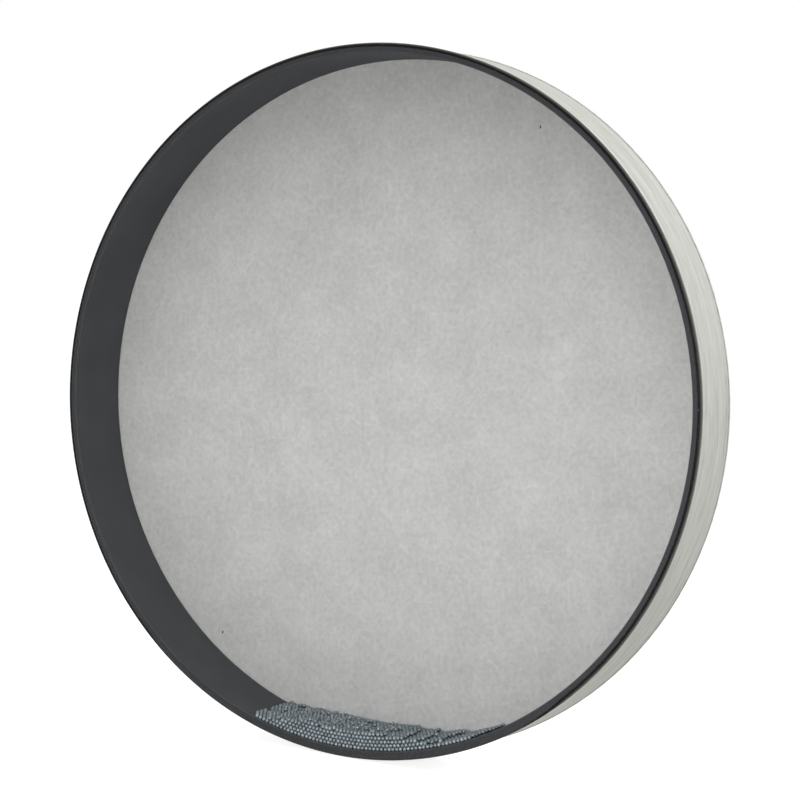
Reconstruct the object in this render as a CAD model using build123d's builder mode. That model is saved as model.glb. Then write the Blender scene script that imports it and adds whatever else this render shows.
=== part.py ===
"""Ocean drum: a shallow hoop closed by two fixed film heads, with loose steel beads inside.

Frame: the drum's axis is Y, with the clear front head facing -Y. +Z is up, with the drum on its
edge and the beads lying at the bottom. The origin is the middle of the drum. Millimetres.
"""

import math
import os

from build123d import *

# Drum, over everything
drum_diameter = 558.8
drum_depth = 63.5

# Head films, each folded over the edge into a collar
film_thickness = 0.25
collar_length = 4.4
collar_corner_radius = 3.0

# Adhesive between a film and what it is glued to
bond_thickness = 0.35

# Hoop and the covering round it
hoop_thickness = 6.5
outer_edge_bevel = 2.2
inner_edge_radius = 0.8
wrap_thickness = 0.5
seam_gap = 0.6
seam_angle = -75.0

# Upright vent slits in the rear film: distance in from the bore, and angle from the top towards +X
vent_height = 2.6
vent_width = 1.3
vents = [(25.3, 25.6), (13.2, -143.7)]

# Beads, and the gaps that keep them apart and off the walls
bead_diameter = 3.175
bead_gap = 0.1
wall_gap = 0.3

# Top of the bead heap: angle from the bottom towards +X, and depth on the bore wall there
heap_crest = [
    (-18.4, 0.0),
    (-14.1, 7.2),
    (-10.2, 11.1),
    (-5.9, 13.2),
    (7.5, 9.4),
    (12.3, 7.3),
    (17.3, 3.8),
    (23.9, 2.0),
]

# Sizes that follow
outer_radius = drum_diameter / 2
half_depth = drum_depth / 2
wrap_radius = outer_radius - film_thickness - bond_thickness
hoop_radius = wrap_radius - wrap_thickness
bore_radius = hoop_radius - hoop_thickness
hoop_half_depth = half_depth - film_thickness - bond_thickness
wrap_half_depth = hoop_half_depth - outer_edge_bevel
collar_end = half_depth - collar_length
bead_radius = bead_diameter / 2

os.makedirs("parts", exist_ok=True)


def finish(piece, name):
    """Labels a finished piece and writes its file."""
    piece.part.label = name
    export_step(piece.part, f"parts/{name}.step")


def on_rim(radius, angle_from_bottom, y=0.0):
    """A point at a distance from the axis, at an angle from the bottom towards +X."""
    angle = math.radians(angle_from_bottom)
    return (radius * math.sin(angle), y, -radius * math.cos(angle))


# Hoop: a rectangular section, bevelled outside and rounded inside, turned about the drum's axis
with BuildPart() as shell:
    with BuildSketch(Plane.XY) as shell_section:
        with Locations(((bore_radius + hoop_radius) / 2, 0)):
            Rectangle(hoop_radius - bore_radius, 2 * hoop_half_depth)
        fillet(shell_section.vertices().group_by(Axis.X)[0], inner_edge_radius)
        chamfer(shell_section.vertices().group_by(Axis.X)[-1], outer_edge_bevel)
    revolve(axis=Axis.Y)
finish(shell, "shell")

# Covering: a thin sheet bent round the hoop, its two ends meeting at an open butt seam
with BuildPart() as shell_wrap:
    with BuildSketch(Plane.XZ):
        Circle(wrap_radius)
        Circle(hoop_radius, mode=Mode.SUBTRACT)
        seam_x, _, seam_z = on_rim((wrap_radius + hoop_radius) / 2, seam_angle)
        with Locations(Location((seam_x, seam_z), seam_angle)):
            Rectangle(seam_gap, 4 * wrap_thickness, mode=Mode.SUBTRACT)
    extrude(amount=wrap_half_depth, both=True)
finish(shell_wrap, "shell_wrap")

# Front adhesive: lies on the hoop's edge, its bevel and the covering's end, under the film
with BuildPart() as front_bond:
    with BuildSketch(Plane.XY):
        with BuildLine():
            Polyline(
                (bore_radius + inner_edge_radius, -hoop_half_depth),
                (bore_radius + inner_edge_radius, film_thickness - half_depth),
                (outer_radius - collar_corner_radius, film_thickness - half_depth),
                (outer_radius - film_thickness, collar_corner_radius - half_depth),
                (outer_radius - film_thickness, -collar_end),
                (wrap_radius, -collar_end),
                (wrap_radius, -wrap_half_depth),
                (hoop_radius, -wrap_half_depth),
                (hoop_radius - outer_edge_bevel, -hoop_half_depth),
                close=True,
            )
        make_face()
    revolve(axis=Axis.Y)
finish(front_bond, "front_bond")

# Rear adhesive: the front one turned round
with BuildPart() as rear_bond:
    mirror(front_bond.part, about=Plane.XZ)
finish(rear_bond, "rear_bond")

# Front film: a flat disc, a round corner and the collar
with BuildPart() as front_head:
    with BuildSketch(Plane.XY):
        with BuildLine():
            film_outside = Line((0, -half_depth), (outer_radius - collar_corner_radius, -half_depth))
            outer_corner = RadiusArc(
                film_outside @ 1,
                (outer_radius, collar_corner_radius - half_depth),
                -collar_corner_radius,
            )
            film_edge = Polyline(
                outer_corner @ 1,
                (outer_radius, -collar_end),
                (outer_radius - film_thickness, -collar_end),
                (outer_radius - film_thickness, collar_corner_radius - half_depth),
            )
            inner_corner = RadiusArc(
                film_edge @ 1,
                (outer_radius - collar_corner_radius, film_thickness - half_depth),
                collar_corner_radius - film_thickness,
            )
            Polyline(inner_corner @ 1, (0, film_thickness - half_depth), film_outside @ 0)
        make_face()
    revolve(axis=Axis.Y)
finish(front_head, "front_head")

# Rear film: the same shape turned round, with the vent slits cut through it
with BuildPart() as rear_head:
    mirror(front_head.part, about=Plane.XZ)
    with BuildSketch(Plane.XZ.offset(-half_depth)):
        for inset, angle in vents:
            vent_x = (bore_radius - inset) * math.sin(math.radians(angle))
            vent_z = (bore_radius - inset) * math.cos(math.radians(angle))
            with Locations((vent_x, vent_z)):
                SlotOverall(vent_height, vent_width, rotation=90)
    extrude(amount=film_thickness, mode=Mode.SUBTRACT)
finish(rear_head, "rear_head")


# Beads: rows across the drum, from head to head, each a bank of nested layers on the bore wall
bead_step = bead_diameter + bead_gap
layer_rise = bead_step * math.sqrt(3) / 2
first_layer_depth = wall_gap + bead_radius
top_layer_depth = max(depth for _, depth in heap_crest) - bead_radius / 2
layer_count = 1 + int((top_layer_depth - first_layer_depth) / layer_rise)
top_layer_radius = bore_radius - first_layer_depth - (layer_count - 1) * layer_rise
angle_step = math.degrees(bead_step / top_layer_radius)

row_space = drum_depth - 2 * (film_thickness + wall_gap) - bead_diameter
row_count = 1 + int(row_space / bead_step)
row_pitch = row_space / (row_count - 1)


def heap_depth(angle):
    """The heap's depth on the wall at an angle, by straight lines between the crest's points."""
    for (start, start_depth), (end, end_depth) in zip(heap_crest, heap_crest[1:]):
        if start <= angle <= end:
            return start_depth + (end_depth - start_depth) * (angle - start) / (end - start)
    return 0.0


def row_points(row):
    """The centres of one row's beads. Layers, and rows, lie half a step along from the last."""
    y = (row - (row_count - 1) / 2) * row_pitch
    points = []
    for layer in range(layer_count):
        depth = first_layer_depth + layer * layer_rise
        angle = heap_crest[0][0] + (layer + row) % 2 * angle_step / 2
        while angle <= heap_crest[-1][0]:
            if depth + bead_radius / 2 <= heap_depth(angle):
                points.append(on_rim(bore_radius - depth, angle, y))
            angle += angle_step
    return points


for row in range(row_count):
    with BuildPart() as bead_row:
        with Locations(*row_points(row)):
            Sphere(bead_radius)
    finish(bead_row, f"bead_row_{row + 1:02d}")
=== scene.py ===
"""Ocean drum standing on its edge in a plain studio.

Metres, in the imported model's frame: the drum's axis is Y, the clear head faces -Y and +Z is up.
"""

import math

import bmesh
import bpy
import numpy as np
from mathutils import Matrix, Vector, kdtree, noise

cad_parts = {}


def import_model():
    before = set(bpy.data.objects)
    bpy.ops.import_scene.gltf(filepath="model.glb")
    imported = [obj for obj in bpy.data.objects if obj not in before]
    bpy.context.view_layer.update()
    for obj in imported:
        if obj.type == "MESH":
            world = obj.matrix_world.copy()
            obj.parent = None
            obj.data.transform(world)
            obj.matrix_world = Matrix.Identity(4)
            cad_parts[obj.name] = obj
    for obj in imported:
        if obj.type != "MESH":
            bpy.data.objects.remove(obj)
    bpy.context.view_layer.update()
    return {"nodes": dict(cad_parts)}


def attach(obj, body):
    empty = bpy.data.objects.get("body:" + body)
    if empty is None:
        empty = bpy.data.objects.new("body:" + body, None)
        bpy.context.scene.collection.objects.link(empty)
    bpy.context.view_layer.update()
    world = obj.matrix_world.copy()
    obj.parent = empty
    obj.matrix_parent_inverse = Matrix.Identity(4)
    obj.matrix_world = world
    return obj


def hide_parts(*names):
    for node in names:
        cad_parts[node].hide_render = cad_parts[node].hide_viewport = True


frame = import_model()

MM = 0.001

# Driving sizes, the same as the solids'
OUTER_RADIUS = 279.4 * MM
HALF_DEPTH = 31.75 * MM
FILM_THICKNESS = 0.25 * MM
COLLAR_CORNER_RADIUS = 3.0 * MM
BOND_THICKNESS = 0.35 * MM
HOOP_THICKNESS = 6.5 * MM
OUTER_EDGE_BEVEL = 2.2 * MM
INNER_EDGE_RADIUS = 0.8 * MM
WRAP_THICKNESS = 0.5 * MM
BEAD_RADIUS = 1.5875 * MM

# Vent slits: distance in from the bore in metres, and angle from the top towards +X in degrees
VENT_HEIGHT = 2.6 * MM
VENT_WIDTH = 1.3 * MM
VENTS = [(25.3 * MM, 25.6), (13.2 * MM, -143.7)]
# The dark sheet in each slit, painted shade for the darkness seen through it: its thickness and its
# outline's steps
VENT_SHADE_THICKNESS = 0.1 * MM
VENT_SHADE_STEPS = 12

# The front adhesive's ragged end on the covering, measured from the drum's front. Each of its waves
# has a fineness, a share of the raggedness and a place in the noise.
BOND_REACH = 3.6 * MM
BOND_RAGGEDNESS = 0.5 * MM
BOND_WAVES = [(38, 1.0, 0), (130, 0.6, 7)]
BOND_CLEARANCE = 0.03 * MM
BOND_LIP = 0.05 * MM
BOND_SLANT = 0.5 * MM
BOND_STEPS = 720
BOND_CORNER_STEPS = 6

# The adhesive's black band: how far in from the drum's side it starts, how wide it is with its
# fading, how far it smears, and how far its start is put off round the bottom, between two heights.
# That put-off is painted light: the lower corner is painted grey where the lit floor brightens it.
BLACK_START = 3.5 * MM
BLACK_WIDTH = 6.8 * MM
SMEAR = 0.9 * MM
PAINTED_LIGHT_START = -205.0 * MM
PAINTED_LIGHT_END = -255.0 * MM
PAINTED_LIGHT_SHIFT = 6.5 * MM

# Top of the bead heap at each head: angle from the bottom towards +X in degrees, and depth in
# millimetres on the bore wall. It lies higher against the front head.
FRONT_CREST = [
    (-17.6, 2.2),
    (-13.3, 7.0),
    (-8.6, 13.4),
    (-1.8, 14.6),
    (6.0, 14.0),
    (10.4, 12.2),
    (15.0, 6.5),
    (18.0, 3.4),
    (24.3, 3.0),
]
REAR_CREST = [
    (-17.6, 2.2),
    (-14.3, 5.2),
    (-11.0, 9.2),
    (-1.0, 12.0),
    (7.4, 10.3),
    (9.8, 8.2),
    (17.0, 4.2),
    (24.0, 3.0),
]

# How the beads are laid: rows across the drum and layers on the wall, with a lumpy, loose top
HEAP_SEED = 20
BEAD_PITCH = 3.39 * MM
BEAD_ROWS = 21
BEAD_CLEARANCE = 0.03 * MM
LAYER_RISE = 2.78 * MM
LAYER_COUNT = 7
BUMP_HEIGHT = 1.4 * MM
BUMP_SCALE = 75.0
SMALL_BUMP_SHARE = 0.5
SMALL_BUMP_FINENESS = 2.3
LOOSE_TOP = 0.8 * MM
LOOSE_FIRST = 0.07 * MM
LOOSE_EACH = 0.18 * MM

# How the beads settle: a pull to the wall that fades, a hold on their places, and pushes apart
BEAD_CONTACT = 3.26 * MM
SETTLE_STEPS = 160
SETTLE_PULL = 0.05 * MM
SETTLE_FADE = 1.3
SETTLE_HOLD = 0.03
SEARCH_EVERY = 8
SEARCH_REACH = 1.25 * BEAD_CONTACT
PUSH_ROUNDS = 3
PUSH_SHARE = 0.3

# How the heap is cut into pieces and meshed, with coarser balls for beads that have many neighbours
BEAD_SLICES = 6
TONE_SEED = 5
FINE_BALL = 3
COARSE_BALL = 2
NEIGHBOUR_REACH = 1.15 * BEAD_CONTACT
BURIED_NEIGHBOURS = 10

# Edges sharper than this stay sharp
SHARP_ANGLE = math.radians(35)

# The studio: levels of light, and lamps as (name, place, size, power), which look at the origin
WHITE = (1, 1, 1, 1)
WORLD_LIGHT = 0.43
WORLD_SEEN = 1.0
FLOOR_SIZE = 40.0
FLOOR_COLOUR = (0.6, 0.6, 0.6, 1.0)
FLOOR_GLOW = 0.8
LAMPS = [
    ("top", (0.0, -0.6, 1.3), 1.4, 4.0),
    ("front", (0.15, -1.2, -0.08), 0.36, 2.8),
    ("side", (1.4, 0.35, 1.1), 1.2, 10.6),
    ("rear", (0.5, 1.5, 0.5), 1.2, 7.0),
]

# The soft beam on the rear head, wider than it is high
BEAM_PLACE = (0.15, -1.5, 0.1)
BEAM_TARGET = (0.045, 0, -0.05)
BEAM_LAMP_RADIUS = 0.2
BEAM_POWER = 27.0
BEAM_ANGLE = math.radians(28.5)
BEAM_STRETCH = 1.8

# The camera in the photograph's upright frame, and how far the drum is turned about its axis in it
CAMERA_EYE = Vector((880.515, -1647.198, 65.323)) * MM
CAMERA_TARGET = Vector((16.230, 0.0, 1.664)) * MM
CAMERA_LENS = 106.487
CAMERA_SENSOR = 36.0
DRUM_TURN = math.radians(4.2)

# Sizes that follow
WRAP_RADIUS = OUTER_RADIUS - FILM_THICKNESS - BOND_THICKNESS
HOOP_RADIUS = WRAP_RADIUS - WRAP_THICKNESS
BORE_RADIUS = HOOP_RADIUS - HOOP_THICKNESS
HOOP_HALF_DEPTH = HALF_DEPTH - FILM_THICKNESS - BOND_THICKNESS
WRAP_HALF_DEPTH = HOOP_HALF_DEPTH - OUTER_EDGE_BEVEL
BEAD_REACH = HALF_DEPTH - FILM_THICKNESS - BEAD_RADIUS - BEAD_CLEARANCE


class Shader:
    """A procedural material: short calls add nodes and join them."""

    def __init__(self, name):
        self.material = bpy.data.materials.new(name)
        self.material.use_nodes = True
        self.nodes = self.material.node_tree.nodes
        self.links = self.material.node_tree.links
        self.surface = self.nodes["Principled BSDF"]
        self.output = self.nodes["Material Output"]

    def give(self, socket, value):
        """Sets a socket, or joins it to the output socket that is given."""
        if isinstance(value, bpy.types.NodeSocket):
            self.links.new(value, socket)
        else:
            socket.default_value = value

    def add(self, kind, settings, inputs, output=0):
        """Adds a node with its settings and inputs, and returns one of its outputs."""
        node = self.nodes.new(kind)
        for key, value in settings.items():
            setattr(node, key, value)
        for key, value in inputs.items():
            self.give(node.inputs[key], value)
        return node.outputs[output]

    def place(self):
        """Where a point of the surface is, in metres."""
        return self.add("ShaderNodeTexCoord", {}, {}, "Object")

    def along(self, axis):
        """One coordinate of that place."""
        return self.add("ShaderNodeSeparateXYZ", {}, {"Vector": self.place()}, axis)

    def radius(self):
        """How far a point of the surface is from the drum's axis, in metres."""
        flat = self.scaled((1, 0, 1))
        return self.add("ShaderNodeVectorMath", {"operation": "LENGTH"}, {0: flat}, "Value")

    def scaled(self, factors, turn=0.0):
        """The place turned about the drum's axis, and then stretched."""
        turned = self.add(
            "ShaderNodeVectorRotate", {"rotation_type": "Y_AXIS"},
            {"Vector": self.place(), "Angle": math.radians(turn)},
        )
        return self.add("ShaderNodeVectorMath", {"operation": "MULTIPLY"}, {0: turned, 1: factors})

    def noise(self, vector, scale, detail=3.0, roughness=0.5):
        """Smooth noise from 0 to 1."""
        return self.add(
            "ShaderNodeTexNoise", {},
            {"Vector": vector, "Scale": scale, "Detail": detail, "Roughness": roughness},
        )

    def math(self, operation, first, second):
        """One sum on two numbers or sockets."""
        return self.add("ShaderNodeMath", {"operation": operation}, {0: first, 1: second})

    def total(self, *parts):
        """The sum of some sockets, each given with what it is multiplied by."""
        terms = [self.math("MULTIPLY", socket, share) for socket, share in parts]
        result = terms[0]
        for term in terms[1:]:
            result = self.math("ADD", result, term)
        return result

    def spread(self, value, low, high, to_low=0.0, to_high=1.0):
        """A value carried from one range to another, and held inside it."""
        return self.add(
            "ShaderNodeMapRange", {},
            {
                "Value": value, "From Min": low, "From Max": high,
                "To Min": to_low, "To Max": to_high,
            },
        )

    def colours(self, factor, stops):
        """A colour ramp, its stops given as (place, sRGB colour from 0 to 255)."""
        node = self.nodes.new("ShaderNodeValToRGB")
        elements = node.color_ramp.elements
        while len(elements) < len(stops):
            elements.new(0.5)
        for element, (place, colour) in zip(elements, stops):
            element.position = place
            element.color = paint(*colour)
        self.links.new(factor, node.inputs["Fac"])
        return node.outputs["Color"]

    def bump(self, height, distance, strength=1.0):
        """A normal that follows a height, its full range being the distance in metres."""
        return self.add(
            "ShaderNodeBump", {}, {"Height": height, "Distance": distance, "Strength": strength}
        )

    def principled(self, **inputs):
        """Gives the Principled node its inputs, named with _ for a space."""
        for key, value in inputs.items():
            self.give(self.surface.inputs[key.replace("_", " ")], value)
        return self.material


def paint(red, green, blue):
    """An sRGB colour from 0 to 255 as Blender's linear colour."""
    def linear(level):
        level /= 255
        return level / 12.92 if level <= 0.04045 else ((level + 0.055) / 1.055) ** 2.4
    return (linear(red), linear(green), linear(blue), 1.0)


def dark_paint():
    """Thin dark grey paint on the wound fibre tube: the winding's ridges show through."""
    shader = Shader("dark_paint")
    cloud = shader.noise(shader.place(), 30.0)
    ridges = shader.noise(shader.scaled((10, 700, 10)), 1.0)
    shade = shader.total((cloud, 0.6), (ridges, 0.4))
    grain = shader.noise(shader.place(), 1800.0, 2.0)
    return shader.principled(
        Base_Color=shader.colours(shade, [(0.3, (75, 76, 79)), (0.7, (85, 86, 89))]),
        Roughness=0.7,
        Specular_IOR_Level=0.1,
        Normal=shader.bump(grain, 0.05 * MM, 0.6),
    )


def wood_wrap():
    """Pale wood-grain sheet: fine streaks that run round the hoop, and broader bands."""
    shader = Shader("wood_grain_wrap")
    streaks = shader.noise(shader.scaled((45, 800, 45)), 1.0, 4.0, 0.65)
    bands = shader.noise(shader.scaled((8, 160, 8)), 1.0)
    shade = shader.total((streaks, 0.65), (bands, 0.35))
    return shader.principled(
        Base_Color=shader.colours(
            shade,
            [(0.30, (176, 174, 165)), (0.48, (206, 206, 199)), (0.70, (226, 226, 221))],
        ),
        Roughness=0.6,
        Specular_IOR_Level=0.15,
        Normal=shader.bump(streaks, 0.03 * MM, 0.5),
    )


def clear_film():
    """Clear polyester film: nearly all see-through, with a soft gloss and faint smudges."""
    shader = Shader("clear_film")
    smudges = shader.noise(shader.place(), 18.0, 4.0, 0.6)
    gloss = shader.add("ShaderNodeFresnel", {}, {"IOR": 1.08})
    backs = shader.add("ShaderNodeNewGeometry", {}, {}, "Backfacing")
    fronts = shader.math("SUBTRACT", 1.0, backs)
    glossy = shader.add(
        "ShaderNodeBsdfGlossy", {},
        {"Color": WHITE, "Roughness": shader.spread(smudges, 0.35, 0.7, 0.06, 0.14)},
    )
    clear = shader.add("ShaderNodeBsdfTransparent", {}, {"Color": WHITE})
    mixed = shader.add(
        "ShaderNodeMixShader", {},
        {0: shader.math("MULTIPLY", gloss, fronts), 1: clear, 2: glossy},
    )
    shader.give(shader.output.inputs["Surface"], mixed)
    shader.nodes.remove(shader.surface)
    return shader.material


def fibre_film():
    """Cloudy film laid up from fibres: crossing strands, small clumps and soft blotches. It is
    whiter where it is folded over the hoop's edge."""
    shader = Shader("fibre_film")
    strands = [
        shader.noise(shader.scaled((60, 1, 330), turn), 1.0, 2.0) for turn in (12, 58, 101, 147)
    ]
    strand = strands[0]
    for other in strands[1:]:
        strand = shader.math("MAXIMUM", strand, other)
    clump = shader.noise(shader.place(), 260.0)
    blotch = shader.noise(shader.place(), 25.0)
    folded = shader.spread(shader.radius(), HOOP_RADIUS - OUTER_EDGE_BEVEL, HOOP_RADIUS)
    shade = shader.total((strand, 0.45), (clump, 0.3), (blotch, 0.25), (folded, 0.4))
    return shader.principled(
        Base_Color=shader.colours(
            shade, [(0.42, (188, 188, 186)), (0.68, (211, 211, 209)), (0.95, (236, 236, 233))]
        ),
        Roughness=0.75,
        Specular_IOR_Level=0.1,
        Normal=shader.bump(strand, 0.05 * MM, 0.3),
    )


def black_adhesive():
    """Black adhesive under the film: grey on the hoop's edge, thick and black at the corner, and
    smeared thin at its end on the covering. Round the drum's bottom the corner is painted grey
    instead
    of black: painted light from the lit floor."""
    shader = Shader("black_adhesive")
    smear = shader.noise(shader.scaled((220, 900, 220)), 1.0, 3.0, 0.6)
    # Painted light: towards the bottom the black band starts later, so the lower corner is painted
    # grey
    low = shader.spread(shader.along("Z"), PAINTED_LIGHT_START, PAINTED_LIGHT_END)
    reach = shader.total(
        (shader.along("Y"), 1.0), (shader.radius(), 1.0), (smear, SMEAR), (low, -PAINTED_LIGHT_SHIFT)
    )
    start = OUTER_RADIUS - BLACK_START - HALF_DEPTH + SMEAR / 2
    return shader.principled(
        Base_Color=shader.colours(
            shader.spread(reach, start, start + BLACK_WIDTH),
            [
                (0.00, (62, 63, 65)),
                (0.07, (10, 10, 10)),
                (0.30, (12, 12, 12)),
                (0.52, (80, 80, 78)),
                (0.76, (112, 112, 108)),
                (1.00, (180, 180, 172)),
            ],
        ),
        Roughness=0.6,
        Specular_IOR_Level=0.1,
        Normal=shader.bump(smear, 0.05 * MM, 0.4),
    )


def pale_adhesive():
    """Pale set glue with small bubbles."""
    shader = Shader("pale_adhesive")
    bubbles = shader.noise(shader.place(), 700.0)
    return shader.principled(
        Base_Color=shader.colours(bubbles, [(0.3, (176, 172, 158)), (0.7, (196, 193, 182))]),
        Roughness=0.45,
    )


def bead_steel():
    """Satin steel, each bead a little lighter or darker than the next."""
    shader = Shader("bead_steel")
    tone = shader.add("ShaderNodeAttribute", {"attribute_name": "tone"}, {}, "Fac")
    return shader.principled(
        Base_Color=shader.colours(tone, [(0.0, (124, 133, 138)), (1.0, (150, 160, 165))]),
        Metallic=0.8,
        Roughness=0.55,
    )


def dress(node, material):
    """Gives a solid's own mesh a material."""
    slots = frame["nodes"][node].data.materials
    slots.clear()
    slots.append(material)


def new_piece(name, mesh, body, nodes=()):
    """Adds a piece that rides on a body, and stands for the solids of the nodes if there are any."""
    piece = bpy.data.objects.new(name, mesh)
    bpy.context.scene.collection.objects.link(piece)
    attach(piece, body)
    if nodes:
        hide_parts(*nodes)


def finish_mesh(mesh, material):
    """Turns the faces outward, shades them smooth between sharp edges and gives a material."""
    work = bmesh.new()
    work.from_mesh(mesh)
    bmesh.ops.recalc_face_normals(work, faces=work.faces)
    for face in work.faces:
        face.smooth = True
    work.to_mesh(mesh)
    work.free()
    mesh.set_sharp_from_angle(angle=SHARP_ANGLE)
    mesh.materials.append(material)


def on_rim(radius, angle, y):
    """A point at a distance from the axis, at an angle in radians from the bottom towards +X."""
    return (radius * math.sin(angle), y, -radius * math.cos(angle))


def bond_end(angle):
    """Where the front adhesive ends on the covering at an angle, as y."""
    ragged = 0.0
    for fineness, share, place in BOND_WAVES:
        spot = Vector((math.sin(angle) * fineness, math.cos(angle) * fineness, place))
        ragged += share * noise.noise(spot)
    return -HALF_DEPTH + BOND_REACH + BOND_RAGGEDNESS * ragged


def bond_section(angle):
    """The front adhesive's section at an angle, as (radius, y): a closed loop."""
    end = bond_end(angle)
    front = -HALF_DEPTH + FILM_THICKNESS + BOND_CLEARANCE
    side = OUTER_RADIUS - FILM_THICKNESS - BOND_CLEARANCE
    corner_radius = COLLAR_CORNER_RADIUS - FILM_THICKNESS - BOND_CLEARANCE
    inner = BORE_RADIUS + INNER_EDGE_RADIUS
    under = WRAP_RADIUS + BOND_CLEARANCE
    section = [(inner, -HOOP_HALF_DEPTH), (inner, front)]
    for step in range(BOND_CORNER_STEPS + 1):
        turn = math.pi / 2 * step / BOND_CORNER_STEPS
        section.append((
            side - corner_radius + corner_radius * math.sin(turn),
            front + corner_radius - corner_radius * math.cos(turn),
        ))
    section += [
        (side - BOND_LIP, max(end, section[-1][1] + BOND_LIP)),
        (under, end + BOND_SLANT),
        (under, -WRAP_HALF_DEPTH),
        (HOOP_RADIUS, -WRAP_HALF_DEPTH),
        (HOOP_RADIUS - OUTER_EDGE_BEVEL, -HOOP_HALF_DEPTH),
    ]
    return section


def front_bond():
    """The front adhesive, turned round the hoop with a ragged end."""
    points = []
    for step in range(BOND_STEPS):
        angle = 2 * math.pi * step / BOND_STEPS
        section = bond_section(angle)
        points += [on_rim(radius, angle, y) for radius, y in section]
    width = len(section)
    faces = []
    for step in range(BOND_STEPS):
        here = step * width
        there = (step + 1) % BOND_STEPS * width
        for corner in range(width):
            following = (corner + 1) % width
            faces.append((here + corner, there + corner, there + following, here + following))
    mesh = bpy.data.meshes.new("front_bond_ragged")
    mesh.from_pydata(points, [], faces)
    finish_mesh(mesh, black_adhesive())
    new_piece("front_bond_ragged", mesh, "drum", ["front_bond"])


def vent_painted_shade(material):
    """A dark sheet that fills each vent slit, inside the film's thickness: painted shade that stands
    in for the darkness seen through the slit.
    """
    work = bmesh.new()
    for inset, angle in VENTS:
        turn = math.radians(angle)
        middle = Vector((math.sin(turn), 0, math.cos(turn))) * (BORE_RADIUS - inset)
        middle.y = HALF_DEPTH - (FILM_THICKNESS - VENT_SHADE_THICKNESS) / 2
        outline = []
        for end, first_turn in ((1, 0.0), (-1, math.pi)):
            centre = middle + Vector((0, 0, end * (VENT_HEIGHT - VENT_WIDTH) / 2))
            for step in range(VENT_SHADE_STEPS + 1):
                turn = first_turn + math.pi * step / VENT_SHADE_STEPS
                outline.append(centre + Vector((math.cos(turn), 0, math.sin(turn))) * VENT_WIDTH / 2)
        face = work.faces.new([work.verts.new(point) for point in outline])
        thick = bmesh.ops.extrude_face_region(work, geom=[face])["geom"]
        moved = [item for item in thick if isinstance(item, bmesh.types.BMVert)]
        bmesh.ops.translate(work, verts=moved, vec=(0, -VENT_SHADE_THICKNESS, 0))
    mesh = bpy.data.meshes.new("vent_painted_shade")
    work.to_mesh(mesh)
    work.free()
    finish_mesh(mesh, material)
    new_piece("vent_painted_shade", mesh, "drum")


def crest_depth(angle, y):
    """The heap's depth on the wall, between the front head's crest and the rear one's."""
    front, rear = [
        np.interp(math.degrees(angle), *zip(*crest)) * MM for crest in (FRONT_CREST, REAR_CREST)
    ]
    return front + (rear - front) * (y + HALF_DEPTH) / (2 * HALF_DEPTH)


def heap_start():
    """The beads before they settle: staggered rows, layer on layer, up to a lumpy crest."""
    draw = np.random.default_rng(HEAP_SEED)
    wall = BORE_RADIUS - BEAD_RADIUS
    step = BEAD_PITCH / wall
    beads = []
    for layer in range(LAYER_COUNT):
        radius = wall - layer * LAYER_RISE
        for row, y in enumerate(np.linspace(-BEAD_REACH, BEAD_REACH, BEAD_ROWS)):
            angle = math.radians(FRONT_CREST[0][0]) + (row + layer) % 2 * step / 2
            while angle < math.radians(FRONT_CREST[-1][0]):
                place = Vector(on_rim(radius, angle, y))
                bump = noise.noise(place * BUMP_SCALE)
                bump += SMALL_BUMP_SHARE * noise.noise(place * SMALL_BUMP_FINENESS * BUMP_SCALE)
                crest = crest_depth(angle, y) + BUMP_HEIGHT * bump + draw.uniform(-1, 1) * LOOSE_TOP
                if layer * LAYER_RISE + 2 * BEAD_RADIUS < crest + LAYER_RISE / 2:
                    loose = LOOSE_FIRST + LOOSE_EACH * layer
                    beads.append(np.array(place) + draw.normal(0, loose, 3))
                angle += step
    return np.array(beads)


def touching(beads):
    """Pairs of beads near enough to touch within the next few steps."""
    tree = kdtree.KDTree(len(beads))
    for index, bead in enumerate(beads):
        tree.insert(bead, index)
    tree.balance()
    pairs = []
    for index, bead in enumerate(beads):
        for _, other, _ in tree.find_range(bead, SEARCH_REACH):
            if other > index:
                pairs.append((index, other))
    return np.array(pairs)


def settled(beads):
    """The beads pressed outward on the bore wall until none overlap."""
    start = beads.copy()
    wall = BORE_RADIUS - BEAD_RADIUS - BEAD_CLEARANCE
    for step in range(SETTLE_STEPS):
        if step % SEARCH_EVERY == 0:
            pairs = touching(beads)
        outward = beads * (1, 0, 1)
        outward /= np.linalg.norm(outward, axis=1, keepdims=True)
        pull = SETTLE_PULL * max(0.0, 1 - SETTLE_FADE * step / SETTLE_STEPS)
        back = start - beads
        back -= outward * (back * outward).sum(1, keepdims=True)
        beads = beads + pull * outward + SETTLE_HOLD * back
        for _ in range(PUSH_ROUNDS):
            gap = beads[pairs[:, 1]] - beads[pairs[:, 0]]
            distance = np.linalg.norm(gap, axis=1, keepdims=True)
            push = np.maximum(0, BEAD_CONTACT - distance) / distance * gap * PUSH_SHARE
            np.add.at(beads, pairs[:, 1], push)
            np.add.at(beads, pairs[:, 0], -push)
            inward = np.minimum(1, wall / np.hypot(beads[:, 0], beads[:, 2]))
            beads[:, 0] *= inward
            beads[:, 2] *= inward
            beads[:, 1] = np.clip(beads[:, 1], -BEAD_REACH, BEAD_REACH)
    return beads


def ball(subdivisions):
    """A unit ball's points and triangles."""
    work = bmesh.new()
    bmesh.ops.create_icosphere(work, subdivisions=subdivisions, radius=1.0)
    work.verts.ensure_lookup_table()
    points = np.array([vertex.co for vertex in work.verts])
    faces = np.array([[vertex.index for vertex in face.verts] for face in work.faces])
    work.free()
    return points, faces


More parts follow.
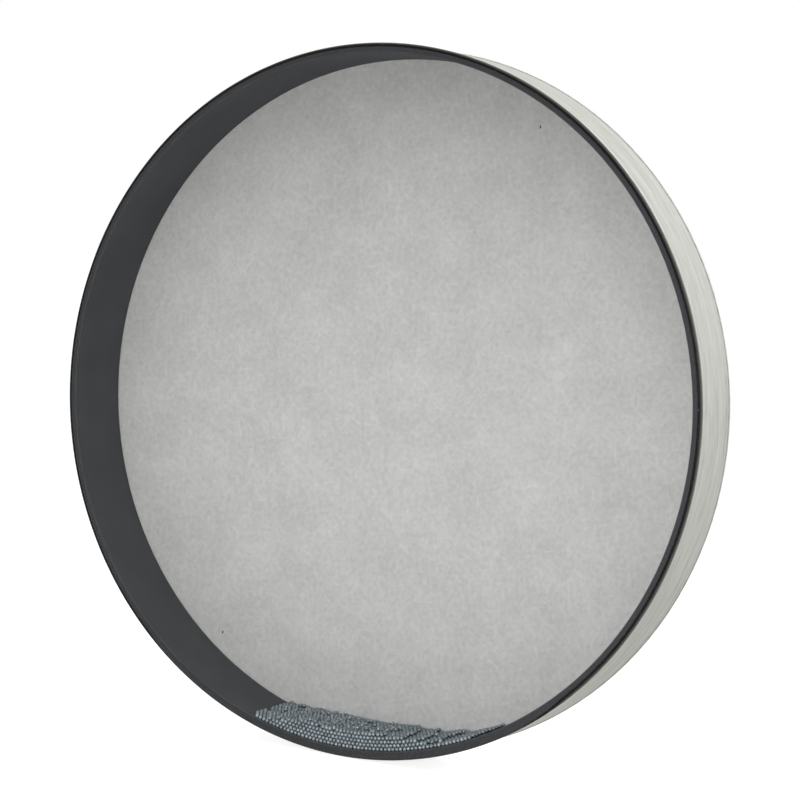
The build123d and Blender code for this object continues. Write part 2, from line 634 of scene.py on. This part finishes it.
def bead_piece(name, beads, tones, buried, material, nodes):
    """One piece holding many beads: finer balls where they show."""
    fine, coarse = ball(FINE_BALL), ball(COARSE_BALL)
    points, faces, tone = [], [], []
    count = 0
    for bead, shade, hidden in zip(beads, tones, buried):
        ball_points, ball_faces = coarse if hidden else fine
        points.append(ball_points * BEAD_RADIUS + bead)
        faces.append(ball_faces + count)
        tone.append(np.full(len(ball_points), shade))
        count += len(ball_points)
    mesh = bpy.data.meshes.new(name)
    mesh.from_pydata(np.vstack(points).tolist(), [], np.vstack(faces).tolist())
    mesh.shade_smooth()
    shades = mesh.attributes.new("tone", "FLOAT", "POINT")
    shades.data.foreach_set("value", np.concatenate(tone).astype(np.float32))
    mesh.materials.append(material)
    new_piece(name, mesh, "beads", nodes)


def bead_heap():
    """The whole heap, in slices from the front head to the rear one."""
    beads = settled(heap_start())
    near = touching(beads)
    close = np.linalg.norm(beads[near[:, 1]] - beads[near[:, 0]], axis=1) < NEIGHBOUR_REACH
    buried = np.bincount(near[close].ravel(), minlength=len(beads)) >= BURIED_NEIGHBOURS
    tones = np.random.default_rng(TONE_SEED).random(len(beads))
    rows = sorted(node for node in frame["nodes"] if node.startswith("bead_row"))
    shares = np.array_split(np.array(rows), BEAD_SLICES)
    edges = np.linspace(-HALF_DEPTH, HALF_DEPTH, BEAD_SLICES + 1)
    material = bead_steel()
    for index, share in enumerate(shares):
        inside = (beads[:, 1] >= edges[index]) & (beads[:, 1] < edges[index + 1])
        bead_piece(
            f"beads_{index + 1}", beads[inside], tones[inside], buried[inside],
            material, [str(node) for node in share],
        )


def floor():
    """A pale floor that shows white to the camera and keeps the drum's shadow."""
    bpy.ops.mesh.primitive_plane_add(size=FLOOR_SIZE, location=(0, 0, -OUTER_RADIUS))
    plane = bpy.context.object
    plane.name = "floor"
    shader = Shader("floor_white")
    shader.principled(Base_Color=FLOOR_COLOUR, Roughness=0.9)
    path = shader.nodes.new("ShaderNodeLightPath")
    seen = shader.math("MAXIMUM", path.outputs["Is Camera Ray"], path.outputs["Is Glossy Ray"])
    strength = shader.math("MULTIPLY", seen, FLOOR_GLOW)
    glow = shader.add("ShaderNodeEmission", {}, {"Color": WHITE, "Strength": strength})
    added = shader.add("ShaderNodeAddShader", {}, {0: shader.surface.outputs[0], 1: glow})
    shader.give(shader.output.inputs["Surface"], added)
    plane.data.materials.append(shader.material)


def world():
    """White to the camera and in reflections, and a softer level as light."""
    scene_world = bpy.data.worlds.new("studio")
    scene_world.use_nodes = True
    bpy.context.scene.world = scene_world
    nodes = scene_world.node_tree.nodes
    links = scene_world.node_tree.links
    path = nodes.new("ShaderNodeLightPath")
    seen = path.outputs["Is Camera Ray"]
    for other in ("Is Glossy Ray", "Is Transmission Ray"):
        either = nodes.new("ShaderNodeMath")
        either.operation = "MAXIMUM"
        links.new(seen, either.inputs[0])
        links.new(path.outputs[other], either.inputs[1])
        seen = either.outputs[0]
    mixed = nodes.new("ShaderNodeMixShader")
    links.new(seen, mixed.inputs[0])
    for socket, background, strength in (
        (1, nodes["Background"], WORLD_LIGHT),
        (2, nodes.new("ShaderNodeBackground"), WORLD_SEEN),
    ):
        background.inputs["Color"].default_value = WHITE
        background.inputs["Strength"].default_value = strength
        links.new(background.outputs[0], mixed.inputs[socket])
    links.new(mixed.outputs[0], nodes["World Output"].inputs["Surface"])


def aim(place, target):
    """The turn that makes a light or a camera look from a place at a target."""
    return (Vector(target) - Vector(place)).to_track_quat("-Z", "Y")


def new_light(name, data, place, target):
    """Adds a light that looks from a place at a target."""
    light = bpy.data.objects.new(name, data)
    light.location = place
    light.rotation_euler = aim(place, target).to_euler()
    bpy.context.scene.collection.objects.link(light)
    return light


def lamps():
    """Square soft lights that look at the drum's middle."""
    for name, place, size, power in LAMPS:
        data = bpy.data.lights.new(name, "AREA")
        data.size = size
        data.energy = power
        new_light(name, data, place, (0, 0, 0))


def beam():
    """A soft oval beam that fades from its middle to its edge."""
    data = bpy.data.lights.new("beam", "SPOT")
    data.shadow_soft_size = BEAM_LAMP_RADIUS
    data.energy = BEAM_POWER
    data.spot_size = BEAM_ANGLE
    data.spot_blend = 1.0
    new_light("beam", data, BEAM_PLACE, BEAM_TARGET).scale.x = BEAM_STRETCH


def camera():
    """The photograph's camera, turned with the drum about its axis."""
    data = bpy.data.cameras.new("camera")
    data.sensor_width = CAMERA_SENSOR
    data.lens = CAMERA_LENS
    view = bpy.data.objects.new("camera", data)
    turned = aim(CAMERA_EYE, CAMERA_TARGET).to_matrix().to_4x4()
    view.matrix_world = Matrix.Rotation(-DRUM_TURN, 4, "Y") @ Matrix.Translation(CAMERA_EYE) @ turned
    bpy.context.scene.collection.objects.link(view)
    bpy.context.scene.camera = view


dark = dark_paint()
dress("shell", dark)
# Painted shade in the vent slits: a dark sheet in each
vent_painted_shade(dark)
dress("shell_wrap", wood_wrap())
dress("front_head", clear_film())
dress("rear_head", fibre_film())
dress("rear_bond", pale_adhesive())
front_bond()
bead_heap()
floor()
world()
lamps()
beam()
camera()
bpy.context.scene.view_settings.view_transform = "Standard"
